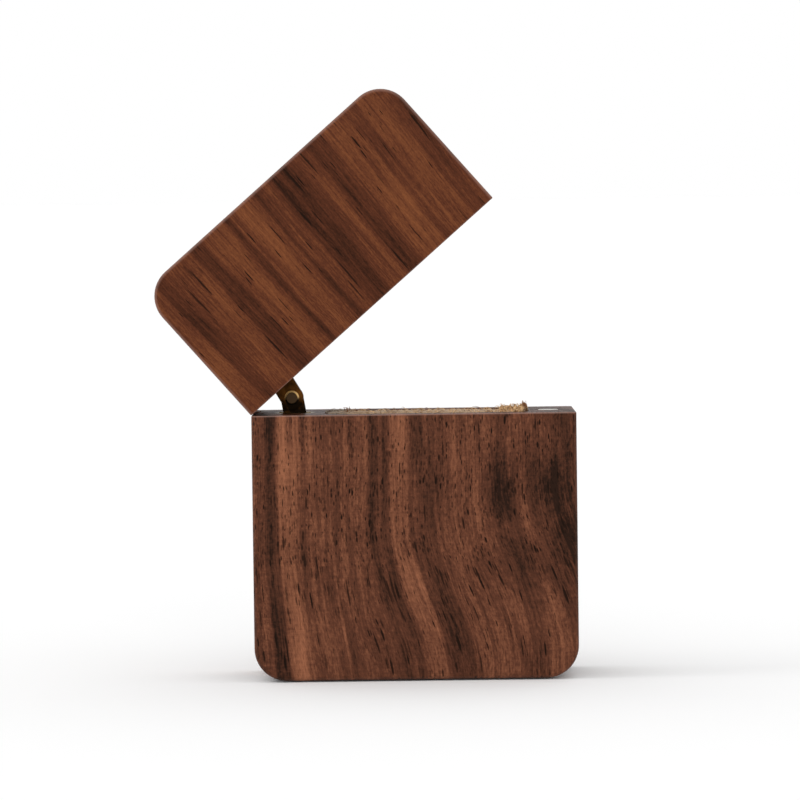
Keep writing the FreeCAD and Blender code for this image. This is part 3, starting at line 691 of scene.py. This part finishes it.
def finish_nodes(names, material):
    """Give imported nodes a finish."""
    for name in names:
        node = frame["nodes"][name]
        node.data.materials.clear()
        node.data.materials.append(material)


def select_only(piece):
    """Make one object the only selected and the active one."""
    bpy.ops.object.select_all(action="DESELECT")
    piece.select_set(True)
    bpy.context.view_layer.objects.active = piece


def pad_outline(length, width, wall_corner, slit_corner, draw):
    """Points round one level of a cushion half, sides drawn in, the slit on the -Y side."""
    ends = length / 2
    sides = width / 2
    points = []
    corners = ((1, 1, wall_corner), (-1, 1, wall_corner), (-1, -1, slit_corner), (1, -1, slit_corner))
    for number, (x_sign, y_sign, radius) in enumerate(corners):
        for step in range(CORNER_STEPS):
            turn = math.pi / 2 * (number + step / CORNER_STEPS)
            points.append((
                x_sign * (ends - radius) + radius * math.cos(turn),
                y_sign * (sides - radius) + radius * math.sin(turn)))
        next_radius = corners[(number + 1) % 4][2]
        if number % 2 == 0:
            for step in range(SIDE_STEPS):
                share = step / SIDE_STEPS
                inward = draw * 4 * share * (1 - share)
                x = x_sign * ((ends - radius) * (1 - share) - (ends - next_radius) * share)
                points.append((x, y_sign * (sides - inward)))
        else:
            for step in range(END_STEPS):
                share = step / END_STEPS
                inward = draw * END_DRAW_SHARE * 4 * share * (1 - share)
                y = y_sign * ((sides - radius) * (1 - share) - (sides - next_radius) * share)
                points.append((x_sign * (ends - inward), y))
    return np.array(points)


def pad_levels(form):
    """Height, inset and share of the rounding left at each level of a cushion half, from its foot up."""
    shoulder = form.height - form.crown
    dome = (form.width - form.ridge) / 2
    levels = [(shoulder * share, 0.0, 1.0) for share in WALL_SHARES]
    for step in range(1, COLLAR_STEPS + 1):
        share = WALL_SHARES[-1] + (1 - WALL_SHARES[-1]) * step / COLLAR_STEPS
        levels.append((shoulder * share, 0.0, 1.0))
    for step in range(1, CROWN_STEPS + 1):
        turn = math.pi / 2 * step / CROWN_STEPS
        bend = 1 - math.cos(turn)
        levels.append((shoulder + form.crown * math.sin(turn), dome * bend, 1 - CROWN_LOSS * bend))
    for step in range(1, RIDGE_STEPS + 1):
        levels.append((form.height, dome + (form.ridge / 2) * step / (RIDGE_STEPS + RIDGE_REST), RIDGE_KEPT))
    return levels


def pad_mesh(name, form):
    """Closed cushion half about its own middle, standing on its foot, with its cloth places stored.

    The cloth place of a vertex is where it would lie if the cover were unrolled from the ridge.
    """
    levels = pad_levels(form)
    downward = levels[::-1]
    travel = [0.0]
    for (low, outer, _), (high, inner, _) in zip(downward[1:], downward[:-1]):
        travel.append(travel[-1] + math.hypot(high - low, inner - outer))
    first = form.width / 2 - levels[-1][1]
    travel = [first + way for way in travel][::-1]

    vertices, places = [], []
    ridge_half = (form.length - form.width) / 2
    for (height, inset, kept), way in zip(levels, travel):
        narrow = form.width - inset * 2
        kept = kept * narrow / form.width
        ring = pad_outline(
            form.length - inset * 2 * END_CROWN_SHARE, narrow, form.wall_corner * kept,
            form.slit_corner * kept, form.draw * kept)
        nearest = np.clip(ring[:, 0], -ridge_half, ridge_half)
        out = np.stack([ring[:, 0] - nearest, ring[:, 1]], axis=1)
        out /= np.maximum(np.linalg.norm(out, axis=1, keepdims=True), TINY)
        vertices.extend((x, y, height) for x, y in ring)
        places.extend((spot + way * dx, way * dy, 0) for spot, (dx, dy) in zip(nearest, out))

    # Foot, walls and crown, then the ridge in strips between its two sides and a cap at each end
    count = 4 * CORNER_STEPS + 2 * SIDE_STEPS + 2 * END_STEPS
    faces = [tuple(reversed(range(count)))]
    for level in range(len(levels) - 1):
        for spot in range(count):
            following = (spot + 1) % count
            faces.append((
                level * count + spot, level * count + following,
                (level + 1) * count + following, (level + 1) * count + spot))
    top = (len(levels) - 1) * count
    half = 2 * CORNER_STEPS + SIDE_STEPS
    opposite = [top + (count - END_STEPS - spot) % count for spot in range(half + 1)]
    for spot in range(half):
        faces.append((top + spot, top + spot + 1, opposite[spot + 1], opposite[spot]))
    faces.append(tuple(top + (count - END_STEPS + step) % count for step in range(END_STEPS + 1)))
    faces.append(tuple(top + half + step for step in range(END_STEPS + 1)))

    mesh = bpy.data.meshes.new(name)
    mesh.from_pydata(vertices, [], faces)
    cloth = mesh.attributes.new("cloth_place", "FLOAT_VECTOR", "POINT")
    cloth.data.foreach_set("vector", np.array(places, np.float32).ravel())
    mesh.validate()
    return mesh


def pad_form(node):
    """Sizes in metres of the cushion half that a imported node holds."""
    low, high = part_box(node)
    return PadForm(
        length=high.x - low.x, width=high.y - low.y, height=high.z - low.z, crown=PAD_CROWN * MM,
        ridge=1.0 * MM, draw=0.2 * MM, wall_corner=PAD_CORNER * MM, slit_corner=1.1 * MM)


def put_in_hollow(mesh, node, front):
    """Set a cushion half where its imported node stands, the front one turned round."""
    low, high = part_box(node)
    turn = Matrix.Rotation(math.pi if front else 0.0, 4, "Z")
    mesh.transform(Matrix.Translation(((low.x + high.x) / 2, (low.y + high.y) / 2, low.z)) @ turn)


def new_piece(name, data, material):
    """Object at the origin with its place in its mesh or curve."""
    piece = bpy.data.objects.new(name, data)
    bpy.context.scene.collection.objects.link(piece)
    data.materials.append(material)
    return piece


def read_points(items, field):
    """Rows of three numbers, one for each vertex or value of a mesh."""
    values = np.empty(len(items) * 3, np.float32)
    items.foreach_get(field, values)
    return values.reshape(-1, 3)


def weave_relief(places, pitch, seed):
    """Height of a plain weave at each cloth place, with the tint of the yarn on top.

    Heights run from 0 in a gap to about 1 on a crossing. Yarns differ a little in width and line.
    """
    draw = np.random.default_rng(seed)
    widths = draw.uniform(0.80, 1.12, (2, WEAVE_YARNS)) * YARN_BREADTH
    wander = draw.uniform(0, 2 * math.pi, (2, WEAVE_YARNS))
    tints = draw.uniform(0.05, 0.75, (2, WEAVE_YARNS))
    tops, shades = [], []
    for direction in (0, 1):
        run = places[:, direction] / pitch
        side = places[:, 1 - direction] / pitch
        yarn = np.floor(side).astype(int)
        row = yarn % WEAVE_YARNS
        phase = wander[direction][row]
        slide = 0.07 * np.sin(run * 0.9 + phase)
        off = (side - yarn - 0.5 + slide) / widths[direction][row]
        lift = np.where(yarn % 2 == 0, 1, -1) * np.sin(math.pi * run) * (1 if direction else -1)
        body = np.sqrt(np.clip(1 - off * off, 0, 1))
        thick = 1 + 0.12 * np.sin(run * 2.3 + phase * 3)
        tops.append(np.where(np.abs(off) < 1, 0.32 + 0.22 * lift + 0.46 * body * thick, 0.0))
        shades.append(tints[direction][row] + 0.1 * np.sin(run * 1.7 + phase))
    over = tops[0] > tops[1]
    return np.where(over, tops[0], tops[1]), np.where(over, shades[0], shades[1])


def over_cushion(spot):
    """Place above the cushion nearest to a spot, so that the lid closes over what lies there."""
    corner = PAD_CORNER * MM
    reach = Vector((
        min(max(spot.x, CUSHION_LOW.x + corner), CUSHION_HIGH.x - corner),
        min(max(spot.y, CUSHION_LOW.y + corner), CUSHION_HIGH.y - corner), spot.z))
    away = spot - reach
    return reach + away * min(1.0, corner / max(away.length, TINY))


def add_strand(curve, spots, thick, thin):
    """Poly line through places given in mm above the rim, tapering to its end."""
    spline = curve.splines.new("POLY")
    spline.points.add(len(spots) - 1)
    for step, (point, spot) in enumerate(zip(spline.points, spots)):
        point.co = (*over_cushion(spot * MM + Vector((0, 0, BASE_HIGH.z))), 1)
        point.radius = thick + (thin - thick) * step / (len(spots) - 1)


class RINGBOX_OT_walnut_blocks(bpy.types.Operator):
    """Give the lower block and the lid their walnut"""

    bl_idname = "ringbox.walnut_blocks"
    bl_label = "Walnut Blocks"
    bl_options = {"REGISTER", "UNDO"}

    def execute(self, context):
        settings = context.scene.ring_box.walnut
        finish_nodes(("base_block",), walnut(
            "oiled_walnut_base", BASE_BOARD, settings.base_dark, settings.base_middle, settings.base_light,
            settings))
        finish_nodes(("lid_block",), walnut(
            "oiled_walnut_lid", LID_BOARD, settings.lid_dark, settings.lid_middle, settings.lid_light,
            settings))
        return {"FINISHED"}


class RINGBOX_OT_brass_hinge(bpy.types.Operator):
    """Give the barrels, leaves, pins and rivet of the hinge their brass"""

    bl_idname = "ringbox.brass_hinge"
    bl_label = "Brass Hinge"
    bl_options = {"REGISTER", "UNDO"}

    def execute(self, context):
        settings = context.scene.ring_box.hinge
        barrel = turned_brass("turned_brass", settings.barrel)
        leaf = patinated_brass("patinated_brass", settings.leaf_dark, settings.leaf_light)
        # The rivet's bevel takes the leaf's dark colour as painted shade below and its bright colour as a
        # painted highlight above
        rivet = rivet_brass("rivet_brass", settings.rivet_head, settings.leaf_dark, settings.rivet)
        finish_nodes(("base_barrel", "lid_barrel"), barrel)
        finish_nodes(("lower_link", "upper_link_front", "upper_link_rear"), leaf)
        finish_nodes(("base_barrel_pin", "lid_barrel_pin"), barrel)
        finish_nodes(("centre_pin",), rivet)
        return {"FINISHED"}


class RINGBOX_OT_magnets(bpy.types.Operator):
    """Give the two disc magnets their nickel plating"""

    bl_idname = "ringbox.magnets"
    bl_label = "Magnets"
    bl_options = {"REGISTER", "UNDO"}

    def execute(self, context):
        plating = nickel_plate("nickel_plate", context.scene.ring_box.hinge.nickel)
        finish_nodes(("base_magnet", "lid_magnet"), plating)
        return {"FINISHED"}


class RINGBOX_OT_foam_cores(bpy.types.Operator):
    """Make the foam core of each half of the cushion"""

    bl_idname = "ringbox.foam_cores"
    bl_label = "Foam Cores"
    bl_options = {"REGISTER", "UNDO"}

    def execute(self, context):
        material = cushion_foam("polyurethane_foam", context.scene.ring_box.cushion.foam)
        for side in ("front", "rear"):
            node = side + "_foam"
            form = pad_form(node)._replace(wall_corner=2.0 * MM, slit_corner=0.6 * MM, ridge=0.7 * MM)
            mesh = pad_mesh(node + "_core", form)
            put_in_hollow(mesh, node, side == "front")
            piece = new_piece(node + "_core", mesh, material)
            mesh.shade_smooth()
            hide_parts(node)
            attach(piece, "base")
        return {"FINISHED"}


class RINGBOX_OT_hessian_covers(bpy.types.Operator):
    """Make the woven hessian cover of each half of the cushion"""

    bl_idname = "ringbox.hessian_covers"
    bl_label = "Hessian Covers"
    bl_options = {"REGISTER", "UNDO"}

    def execute(self, context):
        settings = context.scene.ring_box.cushion
        material = jute_hessian("jute_hessian", settings)
        for side, seed in (("front", 5), ("rear", 9)):
            node = side + "_hessian"
            mesh = pad_mesh(node + "_cover", pad_form(node))
            put_in_hollow(mesh, node, side == "front")
            piece = new_piece(node + "_cover", mesh, material)
            self.settle(context, piece)
            select_only(piece)
            round_off = piece.modifiers.new("round_off", "SUBSURF")
            round_off.levels = round_off.render_levels = 2
            bpy.ops.object.modifier_apply(modifier=round_off.name)
            self.weave(piece, settings, seed)
            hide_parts(node)
            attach(piece, "base")
        return {"FINISHED"}

    @staticmethod
    def settle(context, piece):
        """Let the crown swell over its foam as cloth, held below the shoulder and inside its outline."""
        mesh = piece.data
        rest = read_points(mesh.vertices, "co")
        held = piece.vertex_groups.new(name="held")
        shoulder = rest[:, 2].max() - PAD_CROWN * MM
        held.add(np.flatnonzero(rest[:, 2] <= shoulder + 0.01 * MM).tolist(), 1.0, "REPLACE")
        mesh.transform(Matrix.Scale(SETTLE_SCALE, 4))
        cloth = piece.modifiers.new("settle", "CLOTH")
        cloth.settings.quality = 6
        cloth.settings.use_pressure = True
        cloth.settings.uniform_pressure_force = SETTLE_PRESSURE
        cloth.settings.effector_weights.gravity = 0.0
        cloth.settings.vertex_group_mass = held.name
        cloth.collision_settings.use_collision = False
        for frame_number in range(1, SETTLE_FRAMES + 1):
            context.scene.frame_set(frame_number)
        shaped = piece.evaluated_get(context.evaluated_depsgraph_get())
        move = read_points(shaped.data.vertices, "co") / SETTLE_SCALE - rest
        length = np.maximum(np.linalg.norm(move, axis=1, keepdims=True), TINY)
        spots = rest + move * np.minimum(1.0, SETTLE_LIMIT * MM / length)
        spots[:, :2] = np.clip(spots[:, :2], rest[:, :2].min(axis=0), rest[:, :2].max(axis=0))
        spots[:, 2] = np.maximum(spots[:, 2], rest[:, 2])
        piece.modifiers.remove(cloth)
        piece.vertex_groups.remove(held)
        mesh.vertices.foreach_set("co", spots.astype(np.float32).ravel())
        mesh.update()
        context.scene.frame_set(1)

    @staticmethod
    def weave(piece, settings, seed):
        """Raise the yarns of the weave out of the cover and store their tint and height."""
        mesh = piece.data
        spots = read_points(mesh.vertices, "co")
        normals = read_points(mesh.vertex_normals, "vector")
        places = read_points(mesh.attributes["cloth_place"].data, "vector")
        height, tint = weave_relief(places[:, :2], settings.yarn_pitch, seed)
        spots = spots + normals * ((height - WEAVE_MIDDLE) * 2 * settings.yarn_relief)[:, None]
        mesh.vertices.foreach_set("co", spots.astype(np.float32).ravel())
        for name, values in (("yarn_tint", tint), ("yarn_height", height)):
            attribute = mesh.attributes.new(name, "FLOAT", "POINT")
            attribute.data.foreach_set("value", values.astype(np.float32))
        mesh.update()
        mesh.shade_smooth()


class RINGBOX_OT_frayed_jute(bpy.types.Operator):
    """Make the loose fibres and the frayed tuft at the magnet end of the cushion"""

    bl_idname = "ringbox.frayed_jute"
    bl_label = "Frayed Jute"
    bl_options = {"REGISTER", "UNDO"}

    def execute(self, context):
        settings = context.scene.ring_box.cushion
        draw = random.Random(17)
        curve = bpy.data.curves.new("frayed_jute", "CURVE")
        curve.dimensions = "3D"
        curve.bevel_depth = FIBRE_RADIUS * MM
        curve.bevel_resolution = 0
        curve.use_fill_caps = True
        for start_x, end_x, count, rises, radius in TUFT_YARNS:
            for _ in range(count):
                start = Vector((
                    draw.uniform(start_x, end_x), draw.uniform(*TUFT_BED), draw.uniform(-0.3, 0.0)))
                self.add_yarn(
                    curve, draw, start, draw.uniform(-0.7, 0.7), draw.uniform(*rises),
                    draw.uniform(*TUFT_REACH), radius)
        for start_x, end_x, start_y, end_y, count, rises, reaches in HAIR_BEDS:
            for _ in range(round(count * settings.fibre_share)):
                start = Vector((draw.uniform(start_x, end_x), draw.uniform(start_y, end_y), 0.0))
                self.add_fibre(
                    curve, start, draw.uniform(*rises), draw.uniform(*reaches),
                    draw.uniform(0, 2 * math.pi), draw.uniform(-1.6, 1.6))
        select_only(new_piece("frayed_jute", curve, jute_fibre("jute_fibre", settings)))
        bpy.ops.object.convert(target="MESH")
        piece = bpy.context.view_layer.objects.active
        piece.data.shade_smooth()
        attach(piece, "base")
        return {"FINISHED"}

    @staticmethod
    def add_yarn(curve, draw, start, heading, rise, reach, radius):
        """Frayed loop of a yarn: fibres wound round an arch, opening out over its top."""
        twist = draw.uniform(0.6, 1.3)
        bow = draw.uniform(-0.7, 0.7)
        for number in range(YARN_FIBRES):
            phase = 2 * math.pi * number / YARN_FIBRES + draw.uniform(-0.3, 0.3)
            loose = draw.uniform(0.2, 1.0)
            stop = draw.uniform(0.7, 1.0)
            spots = []
            for step in range(YARN_STEPS + 1):
                share = stop * step / YARN_STEPS
                turn = heading + bow * share
                ahead = Vector((math.cos(turn), math.sin(turn), 0))
                aside = Vector((-ahead.y, ahead.x, 0))
                angle = phase + 2 * math.pi * twist * share
                wide = radius * (0.7 + loose * math.sin(math.pi * share))
                spots.append(
                    start + ahead * (reach * share) + aside * (wide * math.cos(angle))
                    + Vector((0, 0, rise * math.sin(math.pi * 0.9 * share) + wide * math.sin(angle))))
            add_strand(curve, spots, 1.3, 0.6)

    @staticmethod
    def add_fibre(curve, start, rise, reach, heading, curl):
        """One thin fibre that leaves the cloth, arches and lies over."""
        spot = start.copy()
        spots = []
        for step in range(FIBRE_STEPS + 1):
            share = step / FIBRE_STEPS
            if step:
                turn = heading + curl * share
                spot = spot + Vector((math.cos(turn), math.sin(turn), 0)) * reach / FIBRE_STEPS
            spots.append(spot + Vector((0, 0, rise * math.sin(math.pi * share * 0.72))))
        add_strand(curve, spots, 1.0, 0.4)


class RINGBOX_OT_studio(bpy.types.Operator):
    """Set the white floor, the lamps, the sky and the camera"""

    bl_idname = "ringbox.studio"
    bl_label = "Studio"
    bl_options = {"REGISTER", "UNDO"}

    def execute(self, context):
        settings = context.scene.ring_box.studio
        context.scene.view_settings.view_transform = "Standard"
        self.lay_floor()
        self.hang_lamps(settings)
        self.paint_sky(context.scene, settings)
        self.set_camera(context.scene, settings)
        return {"FINISHED"}

    @staticmethod
    def lay_floor():
        """White paper sheet that keeps the shadow and looks white where nothing shades it."""
        bpy.ops.object.select_all(action="DESELECT")
        bpy.ops.mesh.primitive_plane_add(size=40.0, location=(0, 0, -0.2 * MM))
        floor = bpy.context.view_layer.objects.active
        floor.name = "floor"
        material = bpy.data.materials.new("white_paper")
        material.use_nodes = True
        tree = material.node_tree
        tree.nodes.clear()
        paper = add_node(tree, "BsdfDiffuse", {"Color": linear("#E0E0E0")})
        white = add_node(tree, "BsdfDiffuse", {"Color": linear("#F8F8F8")})
        glow = add_node(tree, "Emission", {"Color": WHITE, "Strength": 0.01})
        bright = add_node(tree, "AddShader", (white, glow))
        surface = add_node(tree, "MixShader", (seen_directly(tree), paper, bright))
        add_node(tree, "OutputMaterial", {"Surface": surface})
        floor.data.materials.append(material)

    @staticmethod
    def hang_lamps(settings):
        """Weak key lamp high on the left and fill lamp above the camera."""
        for name, strength, direction, breadth in (
                ("key_lamp", settings.key, (-0.70, -0.10, 0.70), 25.0),
                ("fill_lamp", settings.fill, (0.0, -0.96, 0.28), 30.0)):
            lamp = bpy.data.lights.new(name, "SUN")
            lamp.energy = strength
            lamp.angle = math.radians(breadth)
            made = bpy.data.objects.new(name, lamp)
            bpy.context.scene.collection.objects.link(made)
            made.rotation_mode = "QUATERNION"
            made.rotation_quaternion = Vector(direction).to_track_quat("Z", "Y")

    @staticmethod
    def paint_sky(scene, settings):
        """Even sky, shaded on the right, that the eye sees as plain white."""
        world = bpy.data.worlds.new("white_sky")
        scene.world = world
        world.use_nodes = True
        tree = world.node_tree
        tree.nodes.clear()
        direction = add_node(tree, "SeparateXYZ", (add_node(tree, "TexCoord").outputs["Generated"],))
        shaded = add_node(
            tree, "MapRange", (direction.outputs["X"], 0.2, 0.9, 1, settings.right_side),
            interpolation_type="SMOOTHSTEP")
        lit = add_node(tree, "Math", (shaded, settings.sky), operation="MULTIPLY")
        light = add_node(tree, "Background", {"Color": WHITE, "Strength": lit})
        mirrored = add_node(tree, "Background", {"Color": WHITE, "Strength": shaded})
        white = add_node(tree, "Background", {"Color": WHITE, "Strength": 1.0})
        rays = add_node(tree, "LightPath").outputs
        unseen = add_node(tree, "MixShader", (rays["Is Glossy Ray"], light, mirrored))
        seen = add_node(
            tree, "Math", (rays["Is Camera Ray"], rays["Is Transmission Ray"]), operation="MAXIMUM")
        mixed = add_node(tree, "MixShader", (seen, unseen, white))
        add_node(tree, "OutputWorld", {"Surface": mixed})

    @staticmethod
    def set_camera(scene, settings):
        """Long lens a little above the box, looking slightly down."""
        tilt, roll = settings.camera_tilt, settings.camera_roll
        right = Vector((1, 0, 0))
        up = Vector((0, math.sin(tilt), math.cos(tilt)))
        ahead = Vector((0, math.cos(tilt), -math.sin(tilt)))
        leant_right = right * math.cos(roll) - up * math.sin(roll)
        leant_up = right * math.sin(roll) + up * math.cos(roll)
        camera = bpy.data.cameras.new("camera")
        camera.sensor_width = 36.0
        camera.lens = settings.focal_length
        camera.clip_start = 0.01
        camera.clip_end = 100.0
        made = bpy.data.objects.new("camera", camera)
        scene.collection.objects.link(made)
        axes = Matrix((leant_right, leant_up, -ahead)).transposed().to_4x4()
        made.matrix_world = Matrix.Translation(settings.camera_place) @ axes
        scene.camera = made


class RINGBOX_PT_panel(bpy.types.Panel):
    """Sidebar panel that lists the steps of the ring box"""

    bl_idname = "RINGBOX_PT_panel"
    bl_label = "Ring Box"
    bl_space_type = "VIEW_3D"
    bl_region_type = "UI"
    bl_category = "Ring Box"

    def draw(self, context):
        for step in STEPS:
            self.layout.operator(step.bl_idname)


STEPS = (
    RINGBOX_OT_walnut_blocks,
    RINGBOX_OT_brass_hinge,
    RINGBOX_OT_magnets,
    RINGBOX_OT_foam_cores,
    RINGBOX_OT_hessian_covers,
    RINGBOX_OT_frayed_jute,
    RINGBOX_OT_studio,
)
CLASSES = (
    WalnutSettings, HingeSettings, CushionSettings, StudioSettings, RingBoxSettings, *STEPS, RINGBOX_PT_panel)


def register():
    """Add the classes and the settings to Blender."""
    for item in CLASSES:
        bpy.utils.register_class(item)
    bpy.types.Scene.ring_box = PointerProperty(type=RingBoxSettings)


def unregister():
    """Take the classes and the settings out again."""
    del bpy.types.Scene.ring_box
    for item in reversed(CLASSES):
        bpy.utils.unregister_class(item)


def main():
    """Run every step in order."""
    register()
    bpy.ops.ringbox.walnut_blocks()
    bpy.ops.ringbox.brass_hinge()
    bpy.ops.ringbox.magnets()
    bpy.ops.ringbox.foam_cores()
    bpy.ops.ringbox.hessian_covers()
    bpy.ops.ringbox.frayed_jute()
    bpy.ops.ringbox.studio()


if __name__ == "__main__":
    main()
